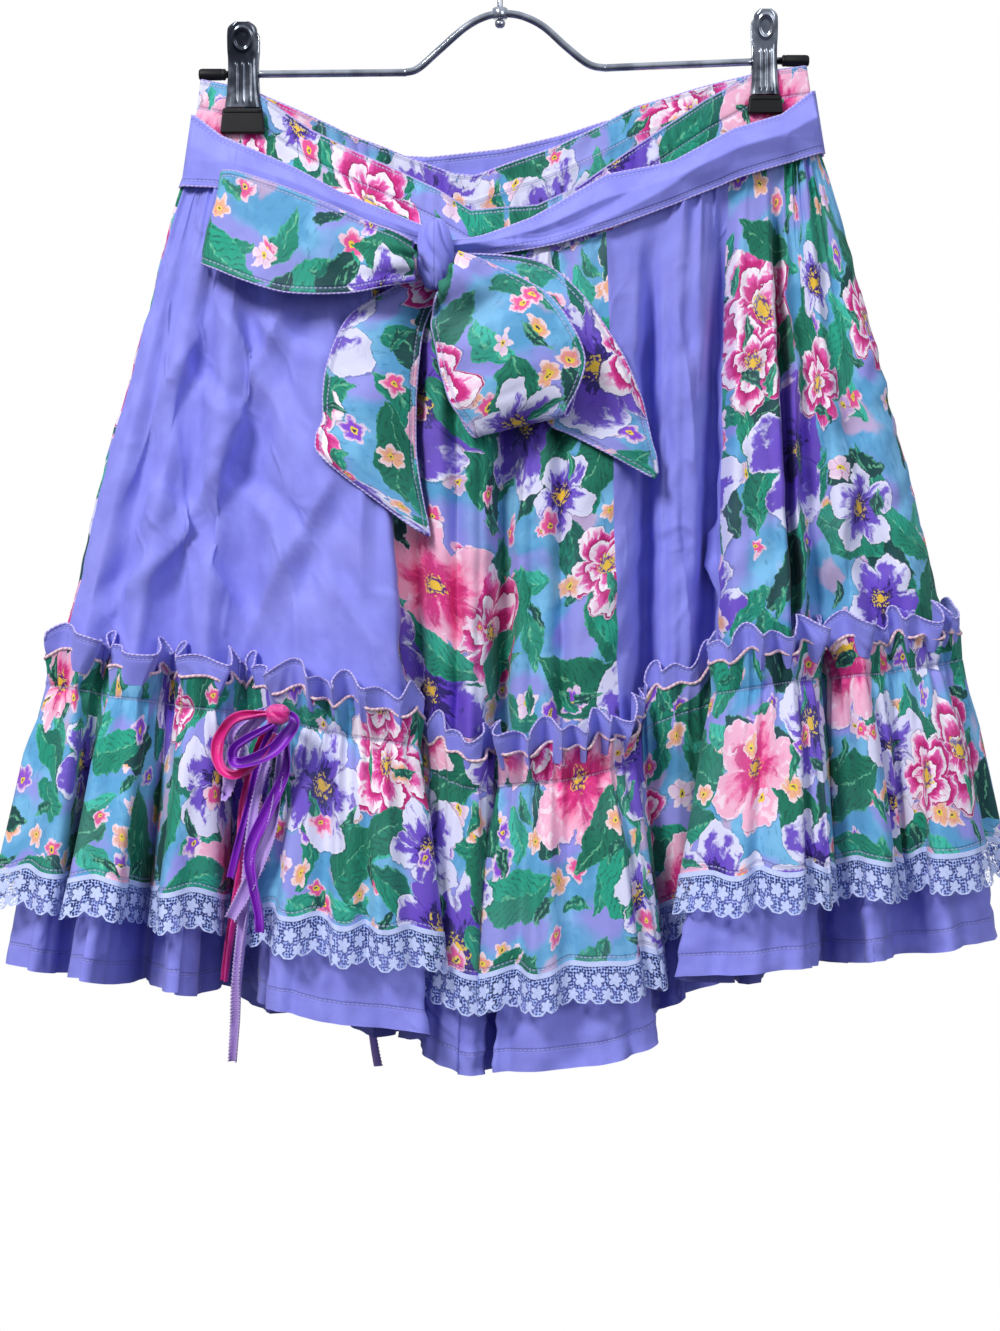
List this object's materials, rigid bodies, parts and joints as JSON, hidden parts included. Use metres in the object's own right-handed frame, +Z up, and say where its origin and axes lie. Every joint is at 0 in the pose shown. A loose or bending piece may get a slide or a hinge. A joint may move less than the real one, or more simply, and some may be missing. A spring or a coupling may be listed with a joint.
{
  "type": "ruffled mini skirt on a clip hanger",
  "caption": "Mini skirt of alternating plain and flowered gores with a lace-edged ruffle, a tied sash with a bow and ribbons, held by the waistband on a wire clip hanger.",
  "frame": {"origin": "inside top of the hanger's hook, where a rail carries it", "axes": "+Z up, the skirt's front faces -Y, +X to the right seen from the front"},
  "size_m": [0.5841, 0.1547, 0.6829],
  "materials": {
    "plain_cotton": "plain-woven lilac cotton, soft creases",
    "print_cotton": "printed cotton, painterly flowers and leaves on sky blue",
    "lace": "flat scalloped lace",
    "ribbon_magenta": "satin",
    "ribbon_purple": "satin",
    "ribbon_pale": "satin with looped edges",
    "chrome": "polished",
    "black_rubber": "matt"
  },
  "bodies": {
    "root": {"panel_front_left_plain": "plain_cotton", "panel_front_print": "print_cotton", "panel_front_right_plain": "plain_cotton", "panel_right_print": "print_cotton", "panel_back_right_plain": "plain_cotton", "panel_back_print": "print_cotton", "panel_back_left_plain": "plain_cotton", "panel_left_print": "print_cotton", "tier_front": "plain_cotton", "tier_back": "plain_cotton", "heading_band_front": "plain_cotton", "ruffle_front": "print_cotton", "lace_front": "lace", "heading_band_back": "plain_cotton", "ruffle_back": "print_cotton", "lace_back": "lace", "waistband_front": "print_cotton", "waistband_back": "print_cotton", "hanger_wire": "chrome", "hanger_hook": "chrome", "end_cap_left": "black_rubber", "end_cap_right": "black_rubber", "clip_left_plate_front": "chrome", "clip_left_jaw_front": "black_rubber", "clip_left_plate_back": "chrome", "clip_left_jaw_back": "black_rubber", "clip_left_spring": "chrome", "clip_right_plate_front": "chrome", "clip_right_jaw_front": "black_rubber", "clip_right_plate_back": "chrome", "clip_right_jaw_back": "black_rubber", "clip_right_spring": "chrome", "sash_left": "plain_cotton", "sash_right": "plain_cotton", "sash_back": "plain_cotton", "bow_tail_left": "print_cotton", "bow_tail_right": "print_cotton", "bow_knot": "plain_cotton", "bow_loop_right": "print_cotton", "bow_loop_left": "print_cotton", "ribbon_magenta_tail": "ribbon_magenta", "ribbon_purple_tail_short": "ribbon_purple", "ribbon_pale_tail_long": "ribbon_pale", "ribbon_pale_tail_short": "ribbon_pale", "ribbon_purple_tail": "ribbon_purple", "ribbon_pale_loop": "ribbon_pale", "ribbon_magenta_loop": "ribbon_magenta", "ribbon_purple_loop": "ribbon_purple", "ribbon_pale_behind": "ribbon_pale", "ribbon_knot": "ribbon_magenta"}
  },
  "joints": []
}
